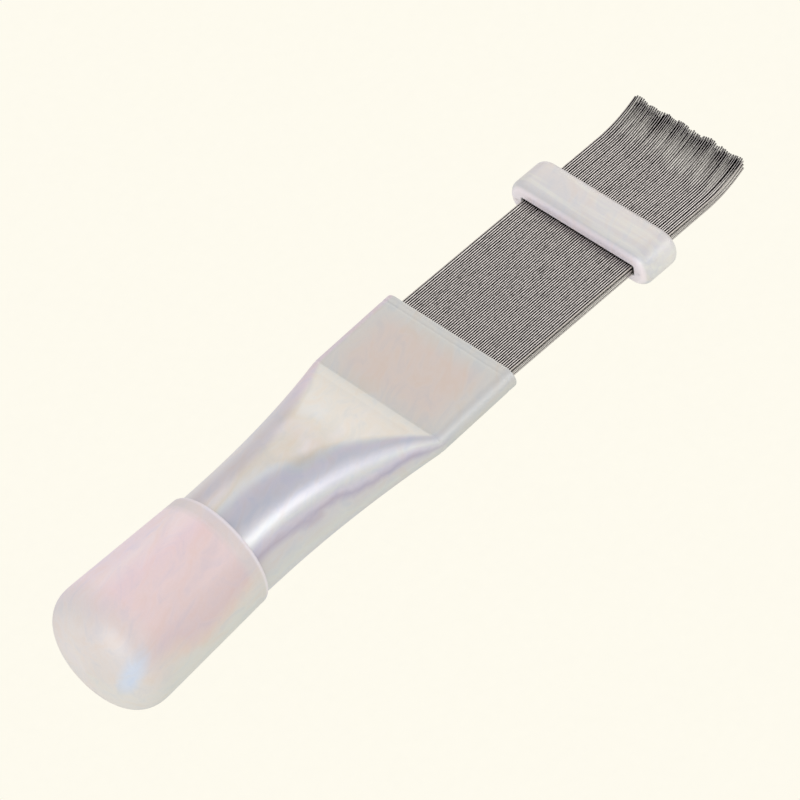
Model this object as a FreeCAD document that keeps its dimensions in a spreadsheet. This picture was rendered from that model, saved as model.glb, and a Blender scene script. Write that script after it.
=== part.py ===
import FreeCAD, Part
import math
import os
import random

import Sketcher

# A wire comb for straightening fins: a round tube flattened into a wide ferrule, a domed end cap
# pushed over its round end, a flat sheaf of straight steel wires set in resin in the flat end, and
# a band that slides along the wires.
# Stations are distances along +X from the tip of the dome. +Z is square to the flat ferrule.
# The origin is the centre of the whole tool's bounding box.

Vector = FreeCAD.Vector

DIMENSIONS = [
    # alias, value in mm or degrees, meaning
    ("mid_length", 100.7, "station of the origin: half the overall length"),
    ("tube_radius", 14.0, "outside radius of the round tube"),
    ("tube_wall", 0.8, "wall of the tube and of its flattened end"),
    ("tube_start", 7.0, "station of the tube's rear end, inside the cap"),
    ("flare_start", 50.0, "station where the round tube begins to flatten"),
    ("flare_end", 94.4, "station of the crease, where the flat ferrule begins"),
    ("mouth", 119.2, "station of the ferrule's mouth"),
    ("flat_half", 3.0, "half the outside thickness of the flat ferrule"),
    ("cap_radius", 16.8, "cap's outside radius where its taper meets the end plane"),
    ("cap_mouth_radius", 15.0, "cap's outside radius at its mouth"),
    ("cap_length", 43.1, "station of the cap's mouth"),
    ("cap_dome", 11.0, "radius of the cap's domed shoulder"),
    ("cap_lip", 0.8, "rounding of the cap's mouth"),
    ("mouth_lip", 0.35, "rounding of the ferrule's mouth, outside"),
    ("plug_start", 84.0, "station of the resin plug's rear end"),
    ("plug_end", 117.6, "station of the resin plug's front end"),
    ("plug_gap", 0.03, "clearance of the resin from the tube and from the sheaf"),
    ("pivot", 106.6, "station where the sheaf's centre line crosses the tube's axis"),
    ("droop", 3.2, "angle of the sheaf below the tube's axis"),
    ("wire_radius", 0.2, "radius of one wire"),
    ("wire_pitch", 0.617, "spacing of the wires across a row"),
    ("row_pitch", 0.53, "spacing of the rows"),
    ("root", 15.5, "how far behind the pivot the wires begin"),
    ("bend_start", 80.2, "how far ahead of the pivot the tips begin to turn up"),
    ("bend_radius", 28.5, "radius of the tips' bend"),
    ("tip_arc", 14.4, "mean length of the bent tip"),
    ("tip_spread", 0.75, "how much a tip may be longer or shorter"),
    ("band_middle", 60.4, "how far ahead of the pivot the band's middle lies at rest"),
    ("band_length", 11.5, "size of the band along the wires"),
    ("band_width", 43.6, "size of the band across the wires"),
    ("band_height", 10.2, "thickness of the band"),
    ("band_corner", 4.8, "rounding of the band's long corners"),
    ("band_edge", 1.8, "rounding of the band's rims"),
    ("band_gap", 0.25, "clearance of the band's slot from the wires, all round"),
]
ROWS = 5
WIRES_PER_ROW = 56
GROUPS = "abcd"
GROUP_SIZE = WIRES_PER_ROW // len(GROUPS)
LENGTH_SEED = 7
TUFT_SIZE = 7
# half the angle, in degrees, of the round tube's arc that grows into the ferrule's flat side
NARROW_ARC = 5

# The flare keeps the tube's girth: its section is a stadium whose straight sides lengthen as its
# half height falls along a parabola from the round tube to the crease.
HALF_HEIGHT = (
    "(D.tube_radius - (D.tube_radius - D.flat_half)"
    " * (({x} - D.flare_start) / (D.flare_end - D.flare_start))^2)"
)


def expression(text):
    """An expression in which D stands for the sheet of dimensions."""
    return text.replace("D.", "Dimensions.")


def new_sheet(doc):
    sheet = doc.addObject("Spreadsheet::Sheet", "Dimensions")
    for row, (alias, value, meaning) in enumerate(DIMENSIONS, start=1):
        sheet.set(f"A{row}", meaning)
        sheet.set(f"B{row}", str(value))
        sheet.setAlias(f"B{row}", alias)
    doc.recompute()
    return sheet


def new_body(doc, label):
    """A body whose own X is the station, placed so that the origin is at mid length."""
    body = doc.addObject("PartDesign::Body", label)
    body.Label = label
    body.setExpression("Placement.Base.x", expression("-D.mid_length"))
    return body


def new_sketch(body, name, plane_role, station=None):
    plane = next(p for p in body.Origin.OriginFeatures if p.Role == plane_role)
    sketch = body.newObject("Sketcher::SketchObject", name)
    sketch.AttachmentSupport = [(plane, "")]
    sketch.MapMode = "FlatFace"
    if station:
        sketch.setExpression("AttachmentOffset.Base.z", expression(station))
    return sketch


def bind(sketch, name, constraint, text):
    """Adds a dimension to a sketch, named and driven by the sheet."""
    index = sketch.addConstraint(constraint)
    sketch.renameConstraint(index, name)
    sketch.setExpression(f"Constraints.{name}", expression(text))


def join_loop(sketch, pairs):
    for (first, first_end), (second, second_end) in pairs:
        sketch.addConstraint(Sketcher.Constraint("Coincident", first, first_end, second, second_end))


def circle_section(body, name, radius, station):
    sketch = new_sketch(body, name, "YZ_Plane", station)
    circle = Part.Circle(Vector(0, 0, 0), Vector(0, 0, 1), 10)
    edge = sketch.addGeometry(circle)
    sketch.addConstraint(Sketcher.Constraint("Coincident", edge, 3, -1, 1))
    bind(sketch, "radius", Sketcher.Constraint("Radius", edge, 10), radius)
    return sketch


def split_circle_section(body, name, radius, station):
    """A circle in four arcs, which a loft can carry over to a stadium's four edges."""
    sketch = new_sketch(body, name, "YZ_Plane", station)
    start_radius = float(sketch.evalExpression(expression(radius)))
    share = math.radians(NARROW_ARC)
    right_angle = math.pi / 2
    turns = [share - right_angle, right_angle - share, right_angle + share, 3 * right_angle - share]
    turns.append(turns[0] + 2 * math.pi)
    circle = Part.Circle(Vector(0, 0, 0), Vector(0, 0, 1), start_radius)
    right, top, left, bottom = [
        sketch.addGeometry(Part.ArcOfCircle(circle, turns[k], turns[k + 1])) for k in range(4)
    ]
    loop = [right, top, left, bottom]
    join_loop(sketch, [((loop[k], 2), (loop[(k + 1) % 4], 1)) for k in range(4)])
    for edge in loop:
        sketch.addConstraint(Sketcher.Constraint("Coincident", edge, 3, -1, 1))
    # mirrored about both axes, with a narrow arc above and below
    sketch.addConstraint(Sketcher.Constraint("Symmetric", top, 1, top, 2, -2))
    sketch.addConstraint(Sketcher.Constraint("Symmetric", bottom, 1, bottom, 2, -2))
    sketch.addConstraint(Sketcher.Constraint("Symmetric", right, 1, right, 2, -1))
    width = 2 * start_radius * math.sin(share)
    narrow = Sketcher.Constraint("DistanceX", top, 2, top, 1, width)
    bind(sketch, "narrow", narrow, f"2 * ({radius}) * sin({NARROW_ARC} deg)")
    bind(sketch, "radius", Sketcher.Constraint("Radius", right, start_radius), radius)
    return sketch


def stadium_section(body, name, inset, station):
    """The flattened tube's section at a station, moved in from its outside by inset."""
    sketch = new_sketch(body, name, "YZ_Plane", station)
    height = HALF_HEIGHT.format(x=station)
    half_height = f"{height} - {inset}"
    straight = f"pi * (D.tube_radius - {height})"
    half = float(sketch.evalExpression(expression(half_height)))
    side = float(sketch.evalExpression(expression(straight)))
    up = Vector(0, 0, 1)
    ends = [Part.Circle(Vector(x, 0, 0), up, half) for x in (side / 2, -side / 2)]
    right = sketch.addGeometry(Part.ArcOfCircle(ends[0], -math.pi / 2, math.pi / 2))
    top = sketch.addGeometry(Part.LineSegment(Vector(side / 2, half, 0), Vector(-side / 2, half, 0)))
    left = sketch.addGeometry(Part.ArcOfCircle(ends[1], math.pi / 2, 3 * math.pi / 2))
    bottom = sketch.addGeometry(
        Part.LineSegment(Vector(-side / 2, -half, 0), Vector(side / 2, -half, 0))
    )
    loop = [right, top, left, bottom]
    join_loop(sketch, [((loop[k], 2), (loop[(k + 1) % 4], 1)) for k in range(4)])
    sketch.addConstraint(Sketcher.Constraint("Symmetric", right, 3, left, 3, -1, 1))
    sketch.addConstraint(Sketcher.Constraint("PointOnObject", right, 3, -1))
    # each round end is a half circle: its ends stand above and below its centre
    for arc in (right, left):
        for end in (1, 2):
            sketch.addConstraint(Sketcher.Constraint("Vertical", arc, end, arc, 3))
    sketch.addConstraint(Sketcher.Constraint("Horizontal", top))
    bind(sketch, "half_height", Sketcher.Constraint("Radius", right, half), half_height)
    spread = Sketcher.Constraint("DistanceX", left, 3, right, 3, side)
    bind(sketch, "straight", spread, straight)
    return sketch


def rectangle_section(body, name, width, depth, station=None):
    sketch = new_sketch(body, name, "YZ_Plane", station)
    x, y = 5.0, 2.0
    corners = [Vector(-x, -y, 0), Vector(x, -y, 0), Vector(x, y, 0), Vector(-x, y, 0)]
    edges = [
        sketch.addGeometry(Part.LineSegment(corners[k], corners[(k + 1) % 4])) for k in range(4)
    ]
    join_loop(sketch, [((edges[k], 2), (edges[(k + 1) % 4], 1)) for k in range(4)])
    for k in (0, 2):
        sketch.addConstraint(Sketcher.Constraint("Horizontal", edges[k]))
        sketch.addConstraint(Sketcher.Constraint("Vertical", edges[k + 1]))
    sketch.addConstraint(Sketcher.Constraint("Symmetric", edges[0], 1, edges[1], 2, -1, 1))
    bind(sketch, "width", Sketcher.Constraint("DistanceX", edges[0], 1, edges[0], 2, 2 * x), width)
    bind(sketch, "depth", Sketcher.Constraint("DistanceY", edges[1], 1, edges[1], 2, 2 * y), depth)
    return sketch


def add_feature(body, kind, name, profile, length=None, reverse=False, middle=False):
    feature = body.newObject(kind, name)
    feature.Profile = profile
    if length:
        feature.setExpression("Length", expression(length))
    feature.Reversed = reverse
    if middle:
        feature.SideType = "Symmetric"
    return feature


def add_loft(body, kind, name, sections):
    loft = body.newObject(kind, name)
    loft.Profile = sections[0]
    loft.Sections = sections[1:]
    loft.Ruled = False
    return loft


def edge_names(feature, wanted):
    """The names of a feature's edges whose bounding box passes a test."""
    edges = enumerate(feature.Shape.Edges, start=1)
    return [f"Edge{k}" for k, edge in edges if wanted(edge.BoundBox, edge)]


def add_fillet(body, name, base, wanted, radius):
    fillet = body.newObject("PartDesign::Fillet", name)
    fillet.Base = (base, edge_names(base, wanted))
    fillet.setExpression("Radius", expression(radius))
    body.Tip = fillet
    return fillet


def station_of(part):
    """A station of the flare, from 0 where it starts to 1 at the crease."""
    return f"(D.flare_start + {part} * (D.flare_end - D.flare_start))"


def make_end_cap(doc, size):
    """A cup turned about X: a tapered side, a domed shoulder and a bore over the tube."""
    body = new_body(doc, "end_cap")
    sketch = new_sketch(body, "cap_profile", "XY_Plane")
    points = [(0, 0), (0, 16), (43, 15), (43, 14), (7, 14), (7, 0)]
    corners = [Vector(x, y, 0) for x, y in points]
    count = len(corners)
    edges = [
        sketch.addGeometry(Part.LineSegment(corners[k], corners[(k + 1) % count]))
        for k in range(count)
    ]
    join_loop(sketch, [((edges[k], 2), (edges[(k + 1) % count], 1)) for k in range(count)])
    end_plane, _side, rim, bore, floor, axis = edges
    sketch.addConstraint(Sketcher.Constraint("Coincident", end_plane, 1, -1, 1))
    for edge in (end_plane, rim, floor):
        sketch.addConstraint(Sketcher.Constraint("Vertical", edge))
    for edge in (bore, axis):
        sketch.addConstraint(Sketcher.Constraint("Horizontal", edge))
    outer = Sketcher.Constraint("DistanceY", end_plane, 1, end_plane, 2, 16)
    bind(sketch, "outer", outer, "D.cap_radius")
    mouth = Sketcher.Constraint("DistanceY", -1, 1, rim, 1, 15)
    bind(sketch, "mouth_radius", mouth, "D.cap_mouth_radius")
    bind(sketch, "bore", Sketcher.Constraint("DistanceY", -1, 1, bore, 1, 14), "D.tube_radius")
    bind(sketch, "length", Sketcher.Constraint("DistanceX", -1, 1, rim, 1, 43), "D.cap_length")
    bind(sketch, "floor", Sketcher.Constraint("DistanceX", -1, 1, floor, 1, 7), "D.tube_start")
    turned = body.newObject("PartDesign::Revolution", "turned")
    turned.Profile = sketch
    turned.ReferenceAxis = (sketch, ["H_Axis"])
    turned.Angle = 360
    doc.recompute()
    domed = add_fillet(
        body, "dome", turned, lambda box, _edge: box.XMax < 0.01 and box.YLength > size.cap_radius,
        "D.cap_dome",
    )
    doc.recompute()
    add_fillet(
        body, "lip", domed,
        lambda box, _edge: box.XMin > size.cap_length - 0.01 and box.YMax > size.tube_radius + 0.1,
        "D.cap_lip",
    )
    return body


def make_sleeve(doc, size):
    """The tube: round at the rear, flared and flattened to the ferrule, hollow all through."""
    body = new_body(doc, "sleeve")
    shares = (0.2, 0.4, 0.6, 0.8, 1.0)
    length = "D.mouth - D.flare_end"
    round_length = "D.flare_start - D.tube_start"

    rear = circle_section(body, "rear_circle", "D.tube_radius", "D.tube_start")
    add_feature(body, "PartDesign::Pad", "round_tube", rear, round_length)
    outside = [split_circle_section(body, "flare_0", "D.tube_radius", "D.flare_start")]
    outside += [
        stadium_section(body, f"flare_{k}", "0", station_of(share))
        for k, share in enumerate(shares, start=1)
    ]
    add_loft(body, "PartDesign::AdditiveLoft", "flare", outside)
    front = stadium_section(body, "ferrule_outline", "0", "D.flare_end")
    add_feature(body, "PartDesign::Pad", "ferrule", front, length)
    doc.recompute()

    inner = "D.tube_radius - D.tube_wall"
    rear_bore = circle_section(body, "rear_bore_circle", inner, "D.tube_start")
    add_feature(body, "PartDesign::Pocket", "round_bore", rear_bore, round_length, reverse=True)
    inside = [split_circle_section(body, "flare_bore_0", inner, "D.flare_start")]
    inside += [
        stadium_section(body, f"flare_bore_{k}", "D.tube_wall", station_of(share))
        for k, share in enumerate(shares, start=1)
    ]
    add_loft(body, "PartDesign::SubtractiveLoft", "flare_bore", inside)
    front_bore = stadium_section(body, "ferrule_bore_outline", "D.tube_wall", "D.flare_end")
    hollow = add_feature(
        body, "PartDesign::Pocket", "ferrule_bore", front_bore, length, reverse=True
    )
    doc.recompute()
    ferrule_half = size.flat_half + math.pi * (size.tube_radius - size.flat_half) / 2

    def on_mouth_outline(box, edge):
        across = edge.CenterOfMass
        outer = abs(across.z) > size.flat_half - 0.01 or abs(across.y) > ferrule_half - 1.5
        return box.XMin > size.mouth - 0.01 and outer

    add_fillet(body, "mouth_round", hollow, on_mouth_outline, "D.mouth_lip")
    return body


def sheaf_size(size):
    """Width and thickness of the sheaf of wires."""
    width = (WIRES_PER_ROW - 1) * size.wire_pitch + size.wire_pitch / 2 + 2 * size.wire_radius
    return width, (ROWS - 1) * size.row_pitch + 2 * size.wire_radius


SHEAF_WIDTH = f"({WIRES_PER_ROW - 0.5} * D.wire_pitch + 2 * D.wire_radius)"
SHEAF_DEPTH = f"({ROWS - 1} * D.row_pitch + 2 * D.wire_radius)"


def make_resin_plug(doc):
    """The resin that fills the flat end of the tube round the wires' roots."""
    body = new_body(doc, "resin_plug")
    inset = "(D.tube_wall + D.plug_gap)"
    stations = ["D.plug_start", "((D.plug_start + D.flare_end) / 2)", "D.flare_end"]
    sections = [
        stadium_section(body, f"plug_{k}", inset, station) for k, station in enumerate(stations)
    ]
    add_loft(body, "PartDesign::AdditiveLoft", "wedge", sections)
    front = stadium_section(body, "plug_outline", inset, "D.flare_end")
    add_feature(body, "PartDesign::Pad", "tongue", front, "D.plug_end - D.flare_end")
    doc.recompute()
    reach = "(D.root + D.plug_gap)"
    slot = rectangle_section(
        body, "slot_outline", f"{SHEAF_WIDTH} + 2 * D.plug_gap", f"{SHEAF_DEPTH} + 2 * D.plug_gap"
    )
    # the slot follows the sheaf, so its sketch is turned about Y and stands at the wires' roots
    slot.AttachmentOffset = FreeCAD.Placement(Vector(), FreeCAD.Rotation(Vector(1, 0, 0), 1))
    slot.setExpression("AttachmentOffset.Rotation.Angle", expression("D.droop"))
    slot.setExpression("AttachmentOffset.Base.z", expression(f"D.pivot - {reach} * cos(D.droop * 1 deg)"))
    slot.setExpression("AttachmentOffset.Base.y", expression(f"{reach} * sin(D.droop * 1 deg)"))
    add_feature(body, "PartDesign::Pocket", "wire_slot", slot, "D.mouth - D.plug_start", reverse=True)
    return body


def place_on_sheaf(piece, size):
    """Turns a piece whose X runs along the wires from the pivot into the tool's frame."""
    turn = FreeCAD.Rotation(Vector(0, 1, 0), size.droop)
    piece.Placement = FreeCAD.Placement(Vector(size.pivot - size.mid_length, 0, 0), turn)


def make_slide_band(doc, size):
    """A rounded rectangular ring round the sheaf, free to slide along it."""
    body = doc.addObject("PartDesign::Body", "slide_band")
    body.Label = "slide_band"
    start = "D.band_middle - D.band_length / 2"
    outline = rectangle_section(body, "band_outline", "D.band_width", "D.band_height", start)
    add_feature(body, "PartDesign::Pad", "block", outline, "D.band_length")
    doc.recompute()
    slot = rectangle_section(
        body, "slot_outline", f"{SHEAF_WIDTH} + 2 * D.band_gap",
        f"{SHEAF_DEPTH} + 2 * D.band_gap", start,
    )
    hollow = add_feature(
        body, "PartDesign::Pocket", "slot", slot, "D.band_length", reverse=True
    )
    doc.recompute()
    half_width = size.band_width / 2

    def is_long_corner(box, _edge):
        reach = max(abs(box.YMin), abs(box.YMax))
        return box.XLength > size.band_length - 0.01 and reach > half_width - 0.01

    corners = add_fillet(body, "corner_round", hollow, is_long_corner, "D.band_corner")
    doc.recompute()
    slot_half_width = sheaf_size(size)[0] / 2 + size.band_gap
    slot_half_depth = sheaf_size(size)[1] / 2 + size.band_gap

    def is_outer_rim(box, edge):
        middle = edge.CenterOfMass
        outside = abs(middle.y) > slot_half_width + 0.5 or abs(middle.z) > slot_half_depth + 0.5
        return box.XLength < 0.01 and outside

    add_fillet(body, "rim_round", corners, is_outer_rim, "D.band_edge")
    place_on_sheaf(body, size)
    body.setExpression("Placement.Base.x", expression("D.pivot - D.mid_length"))
    body.setExpression("Placement.Rotation.Angle", expression("D.droop"))
    return body


def make_wire(size, y, z, tip_length):
    """One round wire: straight from its root, then turned up at the tip."""
    start = Vector(-size.root, y, z)
    bend = Vector(size.bend_start, y, z)
    angle = tip_length / size.bend_radius

    def on_arc(turn):
        rise = size.bend_radius * (1 - math.cos(turn))
        return bend + Vector(size.bend_radius * math.sin(turn), 0, rise)

    path = Part.Wire([
        Part.LineSegment(start, bend).toShape(),
        Part.Arc(bend, on_arc(angle / 2), on_arc(angle)).toShape(),
    ])
    ring = Part.Wire(Part.makeCircle(size.wire_radius, start, Vector(1, 0, 0)))
    wire = path.makePipeShell([ring], True, False)
    section = math.pi * size.wire_radius**2
    expected = section * path.Length
    if abs(wire.Volume - expected) > 0.01 * expected:
        raise RuntimeError("a wire's volume is not its section times its length")
    return wire


def tip_length(size, place, levels, draw):
    """A wire's bent length: the tips lie in rounded tufts, with a little play from wire to wire."""
    bulge = math.sin(math.pi * (place % TUFT_SIZE + 0.5) / TUFT_SIZE)
    share = 0.45 * levels[place // TUFT_SIZE] + 0.6 * (bulge - 0.64) + 0.25 * draw.uniform(-1, 1)
    return size.tip_arc + share * size.tip_spread


def make_wire_groups(doc, size):
    """The sheaf: rows of wires nested in each other's gaps, each row in four groups."""
    draw = random.Random(LENGTH_SEED)
    levels = [draw.uniform(-1, 1) for _ in range(WIRES_PER_ROW // TUFT_SIZE)]
    groups = []
    for row in range(ROWS):
        shift = size.wire_pitch / 4 * (1 if row % 2 else -1)
        z = (row - (ROWS - 1) / 2) * size.row_pitch
        for letter_index, letter in enumerate(GROUPS):
            wires = []
            for k in range(GROUP_SIZE):
                place = letter_index * GROUP_SIZE + k
                y = (place - (WIRES_PER_ROW - 1) / 2) * size.wire_pitch + shift
                wires.append(make_wire(size, y, z, tip_length(size, place, levels, draw)))
            name = f"wires_row{row + 1}_{letter}"
            group = doc.addObject("Part::Feature", name)
            group.Label = name
            group.Shape = Part.makeCompound(wires)
            place_on_sheaf(group, size)
            groups.append(group)
    return groups


def check_document(doc, pieces):
    bad = [o.Name for o in doc.Objects if set(o.State) & {"Invalid", "Error"}]
    if bad:
        raise RuntimeError(f"objects that failed: {bad}")
    for piece in pieces:
        if piece.Shape.isNull() or not piece.Shape.isValid():
            raise RuntimeError(f"{piece.Label} has no valid shape")


def main():
    doc = FreeCAD.newDocument("wire_comb")
    size = new_sheet(doc)
    pieces = [make_end_cap(doc, size), make_sleeve(doc, size), make_resin_plug(doc)]
    pieces.append(make_slide_band(doc, size))
    doc.recompute()
    pieces += make_wire_groups(doc, size)
    doc.recompute()
    check_document(doc, pieces)
    os.makedirs("parts", exist_ok=True)
    for piece in pieces:
        piece.Shape.exportStep(f"parts/{piece.Label}.step")
        box = piece.Shape.BoundBox
        print(
            f"{piece.Label}: {len(piece.Shape.Solids)} solids, {piece.Shape.Volume:.1f} mm3, "
            f"x {box.XMin:.2f} {box.XMax:.2f}, y {box.YMin:.2f} {box.YMax:.2f}, "
            f"z {box.ZMin:.2f} {box.ZMax:.2f}"
        )


main()
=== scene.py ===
import math
import random

import bpy
from mathutils import Matrix, Vector


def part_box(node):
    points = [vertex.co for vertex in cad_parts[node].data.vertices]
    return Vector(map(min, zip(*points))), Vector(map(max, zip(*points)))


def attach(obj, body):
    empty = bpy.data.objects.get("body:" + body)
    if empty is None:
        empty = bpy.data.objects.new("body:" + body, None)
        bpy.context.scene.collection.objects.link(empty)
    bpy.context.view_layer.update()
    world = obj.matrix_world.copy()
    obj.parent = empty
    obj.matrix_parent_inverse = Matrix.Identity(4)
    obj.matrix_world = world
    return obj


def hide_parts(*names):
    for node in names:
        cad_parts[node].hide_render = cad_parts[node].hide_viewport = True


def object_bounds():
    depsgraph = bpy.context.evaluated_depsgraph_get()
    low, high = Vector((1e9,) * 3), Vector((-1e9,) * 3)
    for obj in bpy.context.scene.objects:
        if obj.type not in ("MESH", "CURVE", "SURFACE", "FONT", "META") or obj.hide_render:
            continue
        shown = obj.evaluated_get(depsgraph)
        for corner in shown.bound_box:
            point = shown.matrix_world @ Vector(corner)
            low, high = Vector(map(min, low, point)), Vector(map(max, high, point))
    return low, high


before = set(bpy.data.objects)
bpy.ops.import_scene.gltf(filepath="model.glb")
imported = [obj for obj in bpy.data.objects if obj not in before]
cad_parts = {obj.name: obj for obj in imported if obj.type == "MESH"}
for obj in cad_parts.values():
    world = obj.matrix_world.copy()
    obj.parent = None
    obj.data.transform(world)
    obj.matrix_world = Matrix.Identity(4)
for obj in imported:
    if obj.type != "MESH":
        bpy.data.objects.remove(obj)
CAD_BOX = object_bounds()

# A wire comb: a pearly tube flattened into a wide ferrule, a domed cap on its round end, a flat
# sheaf of fine steel wires with turned-up tips, and a band that slides along the wires.
# Everything is in metres in the CAD frame: +X from the cap to the tips, +Z out of the flat ferrule.

MM = 0.001

# ---------------------------------------------------------------- sizes read from the frame
CAP_LOW, CAP_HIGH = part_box("end_cap")
TUBE_LOW, TUBE_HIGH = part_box("sleeve")

TUBE_RADIUS = TUBE_HIGH.z
TUBE_WALL = 0.8 * MM
FLAT_HALF = 3.0 * MM
MOUTH = TUBE_HIGH.x
CREASE = MOUTH - 24.8 * MM
FLARE_START = MOUTH - 69.2 * MM

CAP_END, CAP_MOUTH = CAP_LOW.x, CAP_HIGH.x
CAP_RADIUS = CAP_HIGH.z
CAP_MOUTH_RADIUS = TUBE_RADIUS + 1.0 * MM
CAP_DOME = 11.0 * MM

# the sheaf of wires, in its own frame: X along the wires from the pivot, Z up through the rows
PIVOT_DEPTH = 12.6 * MM
PIVOT = Vector((MOUTH - PIVOT_DEPTH, 0, 0))
DROOP = math.radians(3.2)
SHEAF = Matrix.Translation(PIVOT) @ Matrix.Rotation(DROOP, 4, "Y")
ROWS = 5
WIRES_PER_ROW = 56
GROUPS = "abcd"
GROUP_SIZE = WIRES_PER_ROW // len(GROUPS)
TUFT_SIZE = 7
WIRE_RADIUS = 0.2 * MM
WIRE_PITCH = 0.617 * MM
ROW_PITCH = 0.53 * MM
ROOT = -15.5 * MM
BEND_START = 80.2 * MM
BEND_RADIUS = 28.5 * MM
TIP_ARC = 14.4 * MM
TIP_SPREAD = 0.75 * MM
BAND_MIDDLE = 60.4 * MM
BAND_SIZE = Vector((11.5, 43.6, 10.2)) * MM
BAND_CORNER = 4.8 * MM
SLOT_HALF = Vector((0, 17.57, 1.51)) * MM

# the cap's cool painted highlight: its middle, its turn in degrees and its half sizes
STREAK_MIDDLE = (CAP_END + 3.1 * MM, -12.2 * MM, 4.6 * MM)
STREAK_TURN = (0, -53.4, -20.9)
STREAK_SIZE = (12 * MM, 3.3 * MM, 3.3 * MM)
# how far the pearl's streaks slant off the tool's length, in degrees
SLANT = 24


# ---------------------------------------------------------------- meshes
def new_piece(name, vertices, faces, material, body, nodes, crease_angle=40):
    """Makes a smooth mesh that rides on a body and stands for CAD nodes."""
    mesh = bpy.data.meshes.new(name)
    mesh.from_pydata([tuple(v) for v in vertices], [], faces)
    mesh.validate()
    mesh.shade_smooth()
    mesh.set_sharp_from_angle(angle=math.radians(crease_angle))
    mesh.materials.append(material)
    piece = bpy.data.objects.new(name, mesh)
    bpy.context.scene.collection.objects.link(piece)
    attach(piece, body)
    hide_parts(*nodes)


def skin(rings, closed):
    """Faces between rings of equally many points. Closed, the last ring is joined to the first."""
    count = len(rings[0])
    vertices = [p for ring in rings for p in ring]
    faces = []
    for k in range(len(rings) if closed else len(rings) - 1):
        here, there = k * count, (k + 1) % len(rings) * count
        for j in range(count):
            after = (j + 1) % count
            faces.append((here + j, here + after, there + after, there + j))
    return vertices, faces


def dip(offset, depth, half_width):
    """The depth of a rounded groove at an offset from its middle."""
    share = offset / half_width
    return depth * math.exp(-share * share)


def smooth_max(a, b, reach):
    """The larger of two values, rounded over where they are within reach of each other."""
    blend = max(reach - abs(a - b), 0) / reach
    return max(a, b) + blend * blend * reach / 4


def half_height(x):
    """Half the tube's outside height at x: round, then falling along a parabola to the ferrule."""
    if x <= FLARE_START:
        return TUBE_RADIUS
    share = (x - FLARE_START) / (CREASE - FLARE_START)
    parabola = TUBE_RADIUS - (TUBE_RADIUS - FLAT_HALF) * share * share
    return min(smooth_max(parabola, FLAT_HALF, 0.35 * MM), TUBE_RADIUS)


def flattened_ring(x, inset, count=288):
    """The tube's section at x. Its girth stays that of the round tube as it flattens."""
    height = half_height(x)
    straight = math.pi * (TUBE_RADIUS - height)
    girth = 2 * math.pi * TUBE_RADIUS
    radius = height - inset
    ring = []
    for k in range(count):
        along = girth * k / count
        side = 1
        if along > girth / 2:
            along, side = girth - along, -1
        if along <= straight / 2:
            y, z = along, radius
        elif along >= girth / 2 - straight / 2:
            y, z = girth / 2 - along, -radius
        else:
            turn = (along - straight / 2) / height
            y, z = straight / 2 + radius * math.sin(turn), radius * math.cos(turn)
        ring.append(Vector((x, side * y, z)))
    return ring


def spread(low, high, count):
    return [low + (high - low) * k / count for k in range(count)]


def make_sleeve(material):
    """The tube and ferrule, with a rolled lip and a shallow groove at the mouth."""
    lip, near_crease = 2.4 * MM, 2 * MM
    lip_start = MOUTH - lip - 0.8 * MM
    stations = spread(TUBE_LOW.x, FLARE_START, 14)
    stations += spread(FLARE_START, CREASE - near_crease, 70)
    stations += spread(CREASE - near_crease, CREASE + near_crease, 40)
    stations += spread(CREASE + near_crease, lip_start, 24)
    stations += spread(lip_start, MOUTH - 0.5 * MM, 28)
    outer = []
    for x in stations:
        inset = dip(x - (MOUTH - lip), 0.09 * MM, 0.32 * MM)
        inset += dip(x - (MOUTH - 1.15 * MM), 0.035 * MM, 0.3 * MM)
        inset += dip(x - CREASE, 0.1 * MM, 0.25 * MM)
        outer.append(flattened_ring(x, inset))
    # the mouth's edge is rounded over its wall
    edge = TUBE_WALL / 2
    for k in range(1, 9):
        turn = math.pi * k / 9
        x = MOUTH - edge + edge * math.sin(turn)
        outer.append(flattened_ring(x, edge - edge * math.cos(turn)))
    inner = [flattened_ring(x, TUBE_WALL) for x in reversed(stations[::2])]
    vertices, faces = skin(outer + inner, closed=True)
    new_piece(
        "ferrule_tube", vertices, faces, material, "handle", ["sleeve"], 50
    )


def turned(profile, count):
    """A closed solid turned about X from a profile of (x, r) that starts and ends at r = 0."""
    turns = [2 * math.pi * k / count for k in range(count)]
    rings = [
        [Vector((x, r * math.cos(turn), r * math.sin(turn))) for turn in turns]
        for x, r in profile[1:-1]
    ]
    vertices, faces = skin(rings, closed=False)
    last_ring = len(vertices) - count
    for pole_x, ring_start, order in ((profile[0][0], 0, -1), (profile[-1][0], last_ring, 1)):
        pole = len(vertices)
        vertices.append(Vector((pole_x, 0, 0)))
        for k in range(count):
            a, b = ring_start + k, ring_start + (k + 1) % count
            faces.append((a, b, pole)[::order])
    return vertices, faces


def cap_radius(x):
    """The cap's outside radius at x: a full dome, a long taper, faint rings behind the mouth."""
    length = CAP_MOUTH - CAP_END
    taper_end = CAP_RADIUS + 0.45 * MM
    taper = taper_end + (CAP_MOUTH_RADIUS - taper_end) * (x - CAP_END) / length
    # a dome fuller than a ball's: the curve's power would be 2 for an ellipse
    power = 2.5
    share = min((x - CAP_END) / CAP_DOME, 1)
    radius = taper * (1 - (1 - share) ** power) ** (1 / power)
    for back, depth in ((2.2, 0.05), (3.4, 0.04), (4.6, 0.03)):
        radius -= dip(x - (CAP_MOUTH - back * MM), depth * MM, 0.3 * MM)
    return min(radius, CAP_RADIUS)


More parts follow.
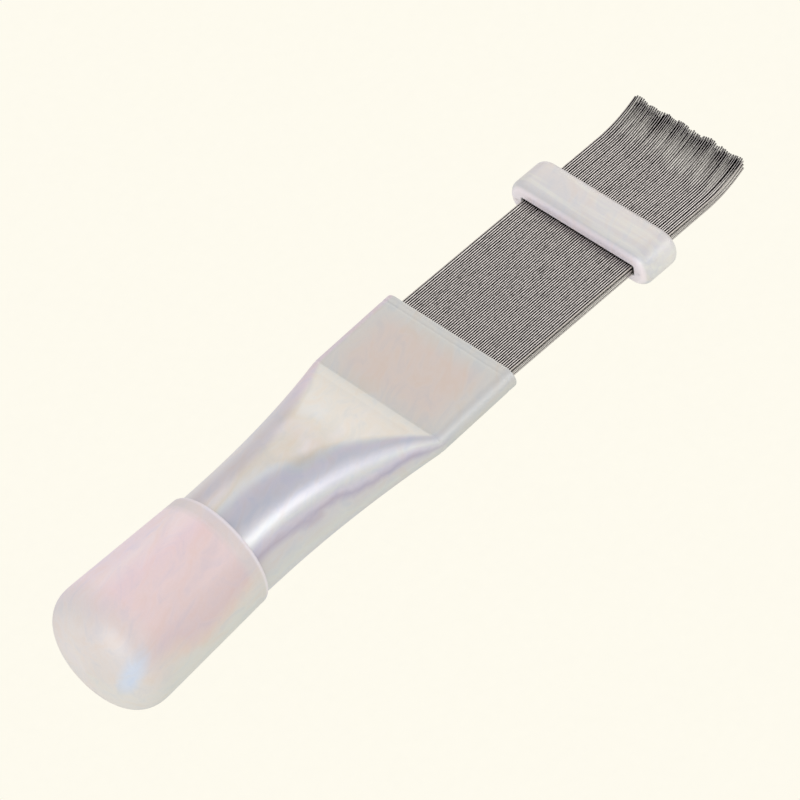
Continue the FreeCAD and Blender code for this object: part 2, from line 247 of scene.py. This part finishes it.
def make_cap(material):
    """The domed cap: its skin, its rounded mouth and the bore that holds the tube."""
    lip = 0.9 * MM
    # the stations crowd towards the dome's tip, where the profile is steepest
    stations = [CAP_END + CAP_DOME * (k / 40) ** 2 for k in range(1, 41)]
    stations += spread(CAP_END + CAP_DOME, CAP_MOUTH - lip, 110)[1:]
    profile = [(CAP_END, 0)] + [(x, cap_radius(x)) for x in stations]
    rim = cap_radius(CAP_MOUTH - lip)
    rounding = rim - TUBE_RADIUS - 0.15 * MM
    for k in range(10):
        turn = math.pi / 2 * k / 9
        x = CAP_MOUTH - lip + lip * math.sin(turn)
        profile.append((x, rim - rounding * (1 - math.cos(turn))))
    bore, floor = TUBE_RADIUS + 0.01 * MM, TUBE_LOW.x - 0.05 * MM
    profile += [(CAP_MOUTH - 0.1 * MM, bore), (floor, bore), (floor, 0)]
    vertices, faces = turned(profile, 224)
    new_piece(
        "domed_cap", vertices, faces, material, "handle", ["end_cap"], 50
    )


def rounded_rectangle(half_y, half_z, corner):
    """Points round a rectangle with round corners, evenly matched from one size to another."""
    arc_steps, long_steps, short_steps = 12, 56, 8
    points = []
    corners = ((1, 1), (-1, 1), (-1, -1), (1, -1))
    for k, (side_y, side_z) in enumerate(corners):
        for j in range(arc_steps + 1):
            turn = math.pi / 2 * (k + j / arc_steps)
            y = side_y * (half_y - corner) + corner * math.cos(turn)
            z = side_z * (half_z - corner) + corner * math.sin(turn)
            points.append((y, z))
        next_y, next_z = corners[(k + 1) % 4]
        start = points[-1]
        turn = math.pi / 2 * (k + 1)
        end = (
            next_y * (half_y - corner) + corner * math.cos(turn),
            next_z * (half_z - corner) + corner * math.sin(turn),
        )
        steps = long_steps if k % 2 == 0 else short_steps
        for j in range(1, steps):
            share = j / steps
            points.append(
                (start[0] + (end[0] - start[0]) * share, start[1] + (end[1] - start[1]) * share)
            )
    return points


def make_band(material):
    """The sliding band: soft outer corners, and a slot whose edges are eased at each face."""
    half = BAND_SIZE / 2
    soft, eased = 2.2 * MM, 0.35 * MM
    turns = [math.pi / 2 * k / 10 for k in range(11)]

    def ring(x, half_y, half_z, corner):
        return [
            SHEAF @ Vector((BAND_MIDDLE + x, y, z))
            for y, z in rounded_rectangle(half_y, half_z, corner)
        ]

    def outer(x, inset):
        return ring(x, half.y - inset, half.z - inset, BAND_CORNER - 0.8 * inset)

    def slot(x, outset):
        return ring(x, SLOT_HALF.y + outset, SLOT_HALF.z + outset, 0.3 * MM + outset)

    def edge(section, face, reach, order):
        """A quarter round where a section meets one of the faces, -1 the rear and 1 the front."""
        return [
            section(face * (half.x - reach * (1 - math.cos(turn))), reach * (1 - math.sin(turn)))
            for turn in order
        ]

    rings = edge(outer, -1, soft, turns)
    rings += [outer(x, 0) for x in spread(-half.x + soft, half.x - soft, 10)[1:]]
    rings += edge(outer, 1, soft, reversed(turns))
    rings += edge(slot, 1, eased, turns)
    rings += [slot(x, 0) for x in spread(half.x - eased, -half.x + eased, 8)[1:]]
    rings += edge(slot, -1, eased, reversed(turns))
    vertices, faces = skin(rings, closed=True)
    faces = [face[::-1] for face in faces]
    new_piece(
        "sliding_band", vertices, faces, material, "slider", ["slide_band"], 50
    )


def wire_path(y, z, tip_arc, draw):
    """A wire's centre line in the sheaf's frame: nearly straight, then turned up at the tip."""
    sway, lift = draw.uniform(-1, 1), draw.uniform(-1, 1)
    phase = draw.uniform(0, 2 * math.pi)
    lean = draw.uniform(-1, 1)
    points = []
    for x in spread(ROOT, BEND_START, 22):
        # the wires are held close in the ferrule and wander a little once they have left it
        wander = 0.03 * MM * max(x - PIVOT_DEPTH, 0) / (66 * MM)
        points.append(
            Vector((
                x,
                y + wander * (sway + 0.6 * math.sin(x / (9 * MM) + phase)),
                z + wander * (lift + 0.6 * math.cos(x / (11 * MM) + phase)),
            ))
        )
    end = points[-1]
    steps = 12
    for k in range(1, steps + 1):
        turn = tip_arc / BEND_RADIUS * k / steps
        share = k / steps
        points.append(
            Vector((
                BEND_START + BEND_RADIUS * math.sin(turn),
                end.y + 0.05 * MM * lean * share * share,
                end.z + BEND_RADIUS * (1 - math.cos(turn)) + 0.06 * MM * lift * share,
            ))
        )
    return points


def tube_along(path, radius, sides):
    """A closed round bar along a path that stays close to X, with a lightly broken end edge."""
    turns = [2 * math.pi * j / sides for j in range(sides)]
    rings = []
    last = len(path) - 1
    for k, point in enumerate(path):
        ahead = (path[min(k + 1, last)] - path[max(k - 1, 0)]).normalized()
        side = Vector((0, 0, 1)).cross(ahead).normalized()
        rise = ahead.cross(side)
        rings.append([
            point + (side * math.cos(turn) + rise * math.sin(turn)) * radius for turn in turns
        ])
    tip = [path[-1] + (p - path[-1]) * 0.6 for p in rings[-1]]
    rings[-1] = [p - ahead * radius * 0.25 for p in rings[-1]]
    rings.append(tip)
    vertices, faces = skin(rings, closed=False)
    count = len(vertices)
    faces.append(tuple(range(sides))[::-1])
    faces.append(tuple(range(count - sides, count)))
    return vertices, faces


def tip_length(place, levels, lengths):
    """A wire's bent length: the tips lie in rounded tufts, with a little play from wire to wire."""
    bulge, mean_bulge = math.sin(math.pi * (place % TUFT_SIZE + 0.5) / TUFT_SIZE), 0.64
    play = lengths.uniform(-1, 1)
    share = 0.45 * levels[place // TUFT_SIZE] + 0.6 * (bulge - mean_bulge) + 0.25 * play
    return TIP_ARC + share * TIP_SPREAD


def make_wires(bright, shaded_steel):
    """The rows of wires, nested in each other's gaps, in the same groups as the frame's nodes."""
    lengths = random.Random(7)
    levels = [lengths.uniform(-1, 1) for _ in range(WIRES_PER_ROW // TUFT_SIZE)]
    draw = random.Random(11)
    for row in range(ROWS):
        shift = WIRE_PITCH / 4 * (1 if row % 2 else -1)
        z = (row - (ROWS - 1) / 2) * ROW_PITCH
        for group, letter in enumerate(GROUPS):
            vertices, faces = [], []
            for k in range(GROUP_SIZE):
                place = group * GROUP_SIZE + k
                y = (place - (WIRES_PER_ROW - 1) / 2) * WIRE_PITCH + shift
                path = wire_path(y, z, tip_length(place, levels, lengths), draw)
                points, quads = tube_along(path, WIRE_RADIUS, 10)
                start = len(vertices)
                vertices += [SHEAF @ p for p in points]
                faces += [tuple(start + index for index in quad) for quad in quads]
            node = f"wires_row{row + 1}_{letter}"
            # painted shade: the inner rows take the darker copy of the steel
            steel = bright if row in (0, ROWS - 1) else shaded_steel
            new_piece(
                f"steel_{node}", vertices, faces, steel, "handle", [node], 35
            )


# ---------------------------------------------------------------- materials
def linear(red, green, blue):
    """A colour given as 0 to 255 display values, as linear light."""
    channels = []
    for value in (red, green, blue):
        share = value / 255
        channels.append(share / 12.92 if share <= 0.04045 else ((share + 0.055) / 1.055) ** 2.4)
    return (*channels, 1)


def grey(level):
    return (level, level, level, 1)


class Shader:
    """A small helper that adds nodes to a material and links them."""

    def __init__(self, name):
        self.material = bpy.data.materials.new(name)
        self.material.use_nodes = True
        self.tree = self.material.node_tree
        self.tree.nodes.clear()
        self.surface = self.add("ShaderNodeBsdfPrincipled")
        output = self.add("ShaderNodeOutputMaterial")
        self.link(self.surface.outputs["BSDF"], output.inputs["Surface"])
        self.place = self.add("ShaderNodeTexCoord").outputs["Object"]

    def add(self, kind, **settings):
        node = self.tree.nodes.new(kind)
        for key, value in settings.items():
            setattr(node, key, value)
        return node

    def link(self, source, target):
        self.tree.links.new(source, target)

    def facing(self):
        """The way the surface faces, split along the object's axes."""
        axes = self.add("ShaderNodeSeparateXYZ")
        self.link(self.add("ShaderNodeTexCoord").outputs["Normal"], axes.inputs["Vector"])
        return axes.outputs

    def stretched(self, scale, turn=(0, 0, 0), middle=(0, 0, 0)):
        """Object coordinates measured from a middle, turned, then scaled along each axis."""
        mapping = self.add("ShaderNodeMapping", vector_type="TEXTURE")
        mapping.inputs["Location"].default_value = middle
        mapping.inputs["Rotation"].default_value = [math.radians(a) for a in turn]
        mapping.inputs["Scale"].default_value = scale
        self.link(self.place, mapping.inputs["Vector"])
        return mapping.outputs["Vector"]

    def noise(self, vector, detail=3.0, roughness=0.5, distortion=0.0):
        node = self.add("ShaderNodeTexNoise")
        node.inputs["Scale"].default_value = 1.0
        node.inputs["Detail"].default_value = detail
        node.inputs["Roughness"].default_value = roughness
        node.inputs["Distortion"].default_value = distortion
        self.link(vector, node.inputs["Vector"])
        return node.outputs["Fac"]

    def ramp(self, source, stops):
        node = self.add("ShaderNodeValToRGB")
        elements = node.color_ramp.elements
        while len(elements) < len(stops):
            elements.new(0.5)
        for element, (position, colour) in zip(elements, stops):
            element.position = position
            element.color = colour
        self.link(source, node.inputs["Fac"])
        return node.outputs["Color"]

    def mask(self, source, *stops):
        """A ramp of greys, given as (position, level) stops."""
        return self.ramp(source, [(position, grey(level)) for position, level in stops])

    def mix(self, share, first, second, blend="MIX"):
        node = self.add("ShaderNodeMix", data_type="RGBA", blend_type=blend)
        if isinstance(share, float):
            node.inputs["Factor"].default_value = share
        else:
            self.link(share, node.inputs["Factor"])
        # sockets 6 and 7, and output 2, are the ones for colours
        for value, socket in ((first, node.inputs[6]), (second, node.inputs[7])):
            if isinstance(value, tuple):
                socket.default_value = value
            else:
                self.link(value, socket)
        return node.outputs[2]

    def times(self, first, second):
        return self.mix(1.0, first, second, "MULTIPLY")

    def math(self, operation, *values):
        """A math node. Values that are floats are set, and others are linked."""
        node = self.add("ShaderNodeMath", operation=operation)
        for value, socket in zip(values, node.inputs):
            if isinstance(value, float):
                socket.default_value = value
            else:
                self.link(value, socket)
        return node.outputs["Value"]

    def span(self, axis, start, end, clamped=True):
        """How far along one object axis a point lies, 0 at start and 1 at end."""
        axes = self.add("ShaderNodeSeparateXYZ")
        self.link(self.place, axes.inputs["Vector"])
        node = self.add("ShaderNodeMapRange", clamp=clamped)
        node.inputs["From Min"].default_value = start
        node.inputs["From Max"].default_value = end
        self.link(axes.outputs[axis], node.inputs["Value"])
        return node.outputs["Result"]

    def remap(self, source, low, high):
        node = self.add("ShaderNodeMapRange")
        node.inputs["To Min"].default_value = low
        node.inputs["To Max"].default_value = high
        self.link(source, node.inputs["Value"])
        return node.outputs["Result"]

    def bump(self, source, distance, strength=1.0):
        node = self.add("ShaderNodeBump")
        node.inputs["Distance"].default_value = distance
        node.inputs["Strength"].default_value = strength
        self.link(source, node.inputs["Height"])
        self.link(node.outputs["Normal"], self.surface.inputs["Normal"])

    def set(self, **values):
        for name, value in values.items():
            self.surface.inputs[name.replace("_", " ")].default_value = value


def pearl(name, tints, streak_size, mottle, patches=(), rougher=None, slant=SLANT, **surface):
    """A pearly lacquer whose tint turns with the way the surface faces round X, with soft streaks.
    The tint by facing paints highlights, reflections and shade as well as the pearl's colour.

    tints gives the colour at each angle from +Z towards -Y, in degrees. patches are (mask, colour)
    makers laid over it, and rougher is (start, end, extra) for roughness that grows along X. The
    streaks slant off the axes by slant degrees.
    """
    shader = Shader(name)
    facing = shader.facing()
    flipped = shader.math("MULTIPLY", facing["Y"], -1.0)
    angle = shader.math("ARCTAN2", flipped, facing["Z"])
    streaks = shader.noise(shader.stretched(streak_size, (0, 0, slant)), 4.0, 0.55, 0.6)
    # the streaks shift the tint by up to 27.5 degrees either way
    sway = shader.math("MULTIPLY", shader.math("SUBTRACT", streaks, 0.5), math.radians(55))
    turn = shader.math("MULTIPLY", shader.math("ADD", angle, sway), 0.5 / math.pi)
    place = shader.math("ADD", turn, 0.5)
    stops = [(0.5 + degrees / 360, linear(*tint)) for degrees, tint in tints]
    colour = shader.ramp(place, stops)
    for patch in patches:
        mask, tint = patch(shader)
        colour = shader.mix(mask, colour, tint)
    warmth = shader.noise(shader.stretched((9 * MM, 4 * MM, 4 * MM), (0, 0, SLANT)), 4.0, 0.6, 1.0)
    blotches = shader.ramp(warmth, [
        (0.32, (0.93, 0.96, 1.0, 1)), (0.5, (1, 1, 1, 1)), (0.68, (1.0, 0.965, 0.93, 1)),
    ])
    colour = shader.times(colour, blotches)
    fine = shader.noise(shader.stretched((0.6 * MM,) * 3), 3.0, 0.6)
    shade = shader.remap(fine, 1 - mottle, 1 + mottle)
    even = shader.add("ShaderNodeCombineColor")
    for channel in ("Red", "Green", "Blue"):
        shader.link(shade, even.inputs[channel])
    colour = shader.times(colour, even.outputs["Color"])
    shader.link(colour, shader.surface.inputs["Base Color"])
    shader.set(**surface)
    base = surface["Roughness"]
    roughness = shader.remap(fine, base - 0.05, base + 0.05)
    if rougher:
        start, end, extra = rougher
        added = shader.math("MULTIPLY", shader.span("X", start, end), extra)
        roughness = shader.math("ADD", roughness, added)
    shader.link(roughness, shader.surface.inputs["Roughness"])
    shader.bump(fine, 0.002 * MM, 0.4)
    return shader.material


def pale_ends(shader):
    """The cap's dome and mouth are paler than its middle."""
    along = shader.span("X", CAP_END, CAP_MOUTH)
    mask = shader.mask(along, (0.10, 0.8), (0.30, 0.0), (0.88, 0.0), (0.93, 0.6))
    return mask, linear(203, 201, 196)


def cool_highlight(shader):
    """One long cool painted highlight on the side of the cap's dome that faces -Y."""
    away = shader.add("ShaderNodeVectorMath", operation="LENGTH")
    shader.link(shader.stretched(STREAK_SIZE, STREAK_TURN, STREAK_MIDDLE), away.inputs[0])
    mask = shader.mask(away.outputs["Value"], (0.3, 0.8), (1.0, 0.0))
    return mask, linear(190, 203, 218)


def rim_highlight(shader):
    """Painted highlight: the rolled edge of the cap's mouth is the palest part of it."""
    along = shader.span("X", CAP_MOUTH - 2.0 * MM, CAP_MOUTH)
    return shader.mask(along, (0.35, 0.0), (0.65, 0.8)), linear(224, 220, 224)


def cap_material():
    # the tints by facing paint the cap's shading and edge reflections over its pink pearl: darker
    # at 45 to 80 degrees, lavender on the +Y side, grey-green on the lower -Y side
    tints = [
        (-180, (222, 206, 206)), (-120, (220, 212, 216)), (-60, (232, 216, 226)),
        (-20, (233, 220, 219)), (5, (223, 203, 204)), (25, (222, 204, 201)), (45, (209, 192, 189)),
        (65, (204, 188, 188)), (80, (209, 196, 187)), (100, (203, 205, 198)),
        (140, (208, 208, 204)), (180, (222, 206, 206)),
    ]
    return pearl(
        "cap_pearl", tints, (34 * MM, 12 * MM, 12 * MM), 0.03, (pale_ends, cool_highlight, rim_highlight),
        Roughness=0.5, Metallic=0.1, Coat_Weight=0.15, Coat_Roughness=0.35,
    )


def beige_panel(shader):
    """The flat of the ferrule is warmer than its lip, its sides and its crease."""
    along = shader.span("X", CREASE, MOUTH)
    inner = shader.mask(along, (0.0, 0.0), (0.02, 0.3), (0.20, 1.0), (0.70, 1.0), (0.88, 0.0))
    across = shader.math("ABSOLUTE", shader.span("Y", 0, 20 * MM, clamped=False))
    middle = shader.mask(across, (0.60, 1.0), (0.95, 0.0))
    return shader.times(inner, middle), linear(206, 197, 189)


def crease_highlight(shader):
    """A painted highlight: a paler strip on the flare where it meets the crease, where the surface
    faces up.
    """
    strip = shader.mask(
        shader.span("X", CREASE - 22 * MM, CREASE),
        (0.0, 0.0), (0.4, 0.6), (0.83, 0.7), (0.86, 0.95), (0.975, 1.0), (0.985, 0.0),
    )
    sideways = shader.math("ABSOLUTE", shader.facing()["Y"])
    flat = shader.mask(sideways, (0.0, 1.0), (0.3, 0.0))
    return shader.times(strip, flat), linear(224, 222, 213)


def ferrule_grey(shader):
    """The pearl turns to an even grey-green where the tube has become the ferrule."""
    along = shader.span("X", CREASE - 6 * MM, CREASE + 4 * MM)
    return shader.mask(along, (0.0, 0.0), (1.0, 0.92)), linear(201, 203, 198)


def lilac_sheen(shader):
    """The side of the flare and ferrule that faces +Y is pinker: a painted lilac sheen."""
    forward = shader.mask(shader.span("X", CREASE - 20 * MM, CREASE), (0.0, 0.0), (0.6, 0.8))
    side = shader.mask(shader.facing()["Y"], (0.10, 0.0), (0.40, 1.0))
    return shader.times(forward, side), linear(222, 210, 218)


def sleeve_material():
    # the tints by facing paint the tube's reflections and shading over its pearl: the pale bands at
    # 40 to 50 degrees are a painted highlight, the dark line at 70 degrees painted shade
    tints = [
        (-180, (196, 192, 184)), (-140, (200, 200, 208)), (-90, (206, 210, 208)),
        (-35, (209, 207, 214)), (-15, (210, 206, 207)), (0, (198, 194, 184)), (9, (198, 202, 203)),
        (20, (199, 198, 206)), (30, (193, 196, 203)), (40, (205, 205, 208)), (50, (210, 213, 209)),
        (60, (204, 201, 209)), (70, (180, 175, 189)), (80, (200, 199, 201)), (100, (206, 209, 206)),
        (140, (200, 200, 208)), (180, (196, 192, 184)),
    ]
    patches = (crease_highlight, ferrule_grey, beige_panel, lilac_sheen)
    return pearl(
        "sleeve_pearl", tints, (40 * MM, 14 * MM, 14 * MM), 0.012, patches,
        (FLARE_START + 10 * MM, CREASE, 0.22),
        Roughness=0.32, Metallic=0.55, Coat_Weight=0.1, Coat_Roughness=0.3,
    )


def rear_edge_shade(shader):
    """Painted shade: the band's broad faces are a little greyer along its rear edge."""
    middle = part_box("slide_band")[0].x + BAND_SIZE.x / 2
    along = shader.span("X", middle - 5.5 * MM, middle + 2 * MM)
    return shader.mask(along, (0.0, 0.8), (0.3, 0.7), (1.0, 0.0)), linear(198, 200, 200)


def lit_back_face(shader):
    """Painted light: the band's rear face is paler than its broad faces."""
    rearward = shader.math("MULTIPLY", shader.facing()["X"], -1.0)
    return shader.mask(rearward, (0.6, 0.0), (0.9, 1.0)), linear(232, 226, 229)


def streak_reflections(shader):
    """Painted reflections: faint yellow-green streaks that run along the band."""
    fine = shader.noise(shader.stretched((1.6 * MM, 26 * MM, 1.6 * MM)), 3.0, 0.55, 0.2)
    return shader.mask(fine, (0.46, 0.0), (0.66, 0.5)), linear(222, 224, 211)


def band_material():
    tints = [
        (-180, (210, 206, 208)), (-90, (214, 214, 214)), (-20, (213, 212, 213)),
        (0, (211, 208, 203)), (20, (211, 208, 205)), (50, (214, 213, 210)), (90, (216, 217, 212)),
        (180, (210, 206, 208)),
    ]
    return pearl(
        "band_pearl", tints, (3 * MM, 30 * MM, 3 * MM), 0.02,
        (rear_edge_shade, streak_reflections, lit_back_face), slant=0,
        Roughness=0.42, Metallic=0.1, Coat_Weight=0.2, Coat_Roughness=0.3,
    )


def wire_material(name, crown, shaded_flank):
    """Drawn steel, its base colour set by facing: a painted highlight along its crown and painted
    shade on the flanks between the wires.
    """
    shader = Shader(name)
    facing = shader.facing()
    wear = shader.noise(shader.stretched((2.5 * MM, 0.3 * MM, 0.3 * MM)), 4.0, 0.6)
    # the crown's colour, with random wear along the wire: a painted highlight on the outer rows and
    # painted shade on the inner ones
    worn_and_lit_crown = shader.ramp(wear, [
        (0.30, linear(*(0.70 * c for c in crown))),
        (0.50, linear(*crown)),
        (0.70, linear(*(0.80 * c for c in crown))),
    ])
    # the tips are a little duller than the rest
    bend = PIVOT.x + BEND_START
    worn_and_lit_crown = shader.mix(shader.span("X", bend, bend + 8 * MM), worn_and_lit_crown, grey(0.75), "MULTIPLY")
    # painted light by facing: the crown is painted bright, the flanks painted dark with shade, and
    # the sides facing ±Y a middle grey
    steepness = shader.math("ABSOLUTE", facing["Z"])
    top = shader.mask(steepness, (0.77, 0.0), (0.88, 1.0))
    side = shader.mask(steepness, (0.12, 1.0), (0.30, 0.0))
    # painted light: the open sides of the outermost wires, and the cut ends of all of them, are
    # painted as bright bare steel, free of the painted shade between the wires
    across = shader.span("Y", 0, SLOT_HALF.y, clamped=False)
    outermost = shader.mask(shader.math("ABSOLUTE", across), (0.952, 0.0), (0.957, 1.0))
    outward = shader.math("MULTIPLY", across, facing["Y"])
    lit_open_side = shader.mask(shader.math("ADD", outward, facing["Z"]), (0.85, 0.0), (1.0, 1.0))
    lit_open_side = shader.times(outermost, lit_open_side)
    end = shader.mask(facing["X"], (0.60, 0.0), (0.75, 1.0))
    tint = shader.mix(top, linear(*shaded_flank), worn_and_lit_crown)
    # the specular tint follows the same painted shade and is cut to black on the flanks
    unshaded = top
    for mask, steel in (
        (side, (112, 107, 101)), (lit_open_side, (196, 191, 184)), (end, (205, 200, 193)),
    ):
        tint = shader.mix(mask, tint, linear(*steel))
        unshaded = shader.mix(1.0, unshaded, mask, "LIGHTEN")
    shader.link(tint, shader.surface.inputs["Base Color"])
    shader.link(unshaded, shader.surface.inputs["Specular Tint"])
    shader.set(Metallic=1.0)
    scratches = shader.noise(shader.stretched((3 * MM, 0.06 * MM, 0.06 * MM)), 3.0, 0.6)
    shader.link(shader.remap(scratches, 0.2, 0.4), shader.surface.inputs["Roughness"])
    shader.bump(scratches, 0.004 * MM, 0.6)
    return shader.material


def resin_material():
    shader = Shader("cast_resin")
    grains = shader.noise(shader.stretched((1.2 * MM,) * 3), 4.0, 0.6)
    shader.link(
        shader.ramp(grains, [(0.3, linear(46, 42, 40)), (0.7, linear(72, 66, 60))]),
        shader.surface.inputs["Base Color"],
    )
    shader.set(Roughness=0.5)
    shader.bump(grains, 0.05 * MM)
    return shader.material


# ---------------------------------------------------------------- stage, lights and camera
CREAM = linear(254.6, 251.3, 239)
FLOOR_HALF = 4.0
CAMERA_AZIMUTH, CAMERA_ELEVATION, CAMERA_ROLL = 52.51, 49.71, -11.88
CAMERA_AIM = Vector((MOUTH - 21.7 * MM, 0, 0))
CAMERA_DISTANCE = 1.3894
# how far the camera stands off its aim, to its right and downwards
CAMERA_RIGHT, CAMERA_DOWN = 2.88 * MM, 0.38 * MM


def lit_backdrop(tree, plain, seen, target):
    """Shows one shader to the camera and another to all other rays, so that the set stays even."""
    choice = tree.nodes.new("ShaderNodeMixShader")
    path = tree.nodes.new("ShaderNodeLightPath")
    tree.links.new(path.outputs["Is Camera Ray"], choice.inputs["Fac"])
    tree.links.new(plain, choice.inputs[1])
    tree.links.new(seen, choice.inputs[2])
    tree.links.new(choice.outputs["Shader"], target)


def make_floor():
    """A plain floor just below the tool. The camera sees it as even cream paper."""
    shader = Shader("floor_paper")
    grain = shader.noise(shader.stretched((2.5 * MM,) * 3), 2.0, 0.5)
    darker = (*(0.992 * c for c in CREAM[:3]), 1)
    tone = shader.ramp(grain, [(0.3, CREAM), (0.7, darker)])
    shader.set(
        Base_Color=linear(206, 202, 192), Roughness=0.9, Specular_IOR_Level=0.0,
        Emission_Color=linear(224, 230, 226), Emission_Strength=0.45,
    )
    glow = shader.add("ShaderNodeEmission")
    shader.link(tone, glow.inputs["Color"])
    lit_backdrop(
        shader.tree, shader.surface.outputs["BSDF"], glow.outputs["Emission"],
        shader.tree.nodes["Material Output"].inputs["Surface"],
    )
    level = CAD_BOX[0].z - 0.2 * MM
    signs = ((-1, -1), (1, -1), (1, 1), (-1, 1))
    corners = [(x * FLOOR_HALF, y * FLOOR_HALF, level) for x, y in signs]
    mesh = bpy.data.meshes.new("floor")
    mesh.from_pydata(corners, [], [(0, 1, 2, 3)])
    mesh.materials.append(shader.material)
    floor = bpy.data.objects.new("floor", mesh)
    bpy.context.scene.collection.objects.link(floor)


def make_world():
    """An even ambient light. The camera sees it as the same cream as the floor."""
    world = bpy.data.worlds.new("studio")
    world.use_nodes = True
    tree = world.node_tree
    ambient = tree.nodes["Background"]
    ambient.inputs["Color"].default_value = linear(236, 232, 236)
    ambient.inputs["Strength"].default_value = 0.84
    seen = tree.nodes.new("ShaderNodeBackground")
    seen.inputs["Color"].default_value = CREAM
    lit_backdrop(
        tree, ambient.outputs["Background"], seen.outputs["Background"],
        tree.nodes["World Output"].inputs["Surface"],
    )
    bpy.context.scene.world = world


def make_light(name, toward, distance, size, power, colour, along=(1, 0, 0)):
    """A soft box seen from the tool in one direction, turned to face it, its width along a line."""
    light = bpy.data.lights.new(name, "AREA")
    light.shape = "RECTANGLE"
    light.size, light.size_y = size
    light.energy = power
    light.color = colour
    back = Vector(toward).normalized()
    side = Vector(along)
    side = (side - back * side.dot(back)).normalized()
    turn = Matrix((side, back.cross(side), back)).transposed()
    box = bpy.data.objects.new(name, light)
    box.matrix_world = Matrix.Translation(back * distance) @ turn.to_4x4()
    bpy.context.scene.collection.objects.link(box)


def make_lights():
    # a long strip beside the tool draws the bright line along its -Y side
    make_light(
        "side_strip", (0.62, -0.66, 0.42), 0.9, (1.3, 0.22), 2.1, (0.96, 0.95, 1.0),
        (0.8, 0.5, -0.3),
    )
    # a warm box ahead of the tips lights the slope of the flare and the flat ferrule
    make_light("front_box", (0.80, 0.50, 0.34), 0.9, (0.5, 0.5), 0.75, (1.0, 0.95, 0.86))
    # a broad soft box above the tool, on its +Y side
    make_light("top_box", (0.35, 0.55, 0.76), 1.0, (0.8, 0.6), 0.98, (1.0, 0.94, 0.86))
    # a pale box behind the cap fills its dome and the band's rear face
    make_light("rear_box", (-0.85, -0.30, 0.45), 1.0, (0.9, 0.6), 4.2, (1.0, 0.98, 1.0))


def make_camera():
    """A long lens above and behind the cap, on the tool's -Y side."""
    azimuth, elevation, roll = (
        math.radians(a) for a in (CAMERA_AZIMUTH, CAMERA_ELEVATION, CAMERA_ROLL)
    )
    back = Vector((
        -math.cos(elevation) * math.cos(azimuth),
        -math.cos(elevation) * math.sin(azimuth),
        math.sin(elevation),
    ))
    level_up = (Vector((0, 0, 1)) - back * back.z).normalized()
    level_right = level_up.cross(back)
    right = level_right * math.cos(roll) + level_up * math.sin(roll)
    up = back.cross(right)
    data = bpy.data.cameras.new("camera")
    data.sensor_width = 36.0
    data.lens = 276.0
    data.clip_start, data.clip_end = 0.05, 20.0
    camera = bpy.data.objects.new("camera", data)
    place = CAMERA_AIM + back * CAMERA_DISTANCE + right * CAMERA_RIGHT - up * CAMERA_DOWN
    turn = Matrix((right, up, back)).transposed()
    camera.matrix_world = Matrix.Translation(place) @ turn.to_4x4()
    bpy.context.scene.collection.objects.link(camera)
    bpy.context.scene.camera = camera


# ---------------------------------------------------------------- the model
make_camera()
make_floor()
make_world()
make_lights()
bpy.context.scene.view_settings.view_transform = "Standard"

make_sleeve(sleeve_material())
make_cap(cap_material())
make_band(band_material())
# the outer rows' steel, and a darker copy of it that paints the shade on the rows inside the sheaf
make_wires(
    wire_material("lit_outer_steel", (255, 251, 246), (12, 11, 10)),
    wire_material("shaded_inner_steel", (36, 33, 30), (12, 11, 10)),
)
# the resin keeps its CAD mesh
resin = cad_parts["resin_plug"]
resin.data.materials.clear()
resin.data.materials.append(resin_material())
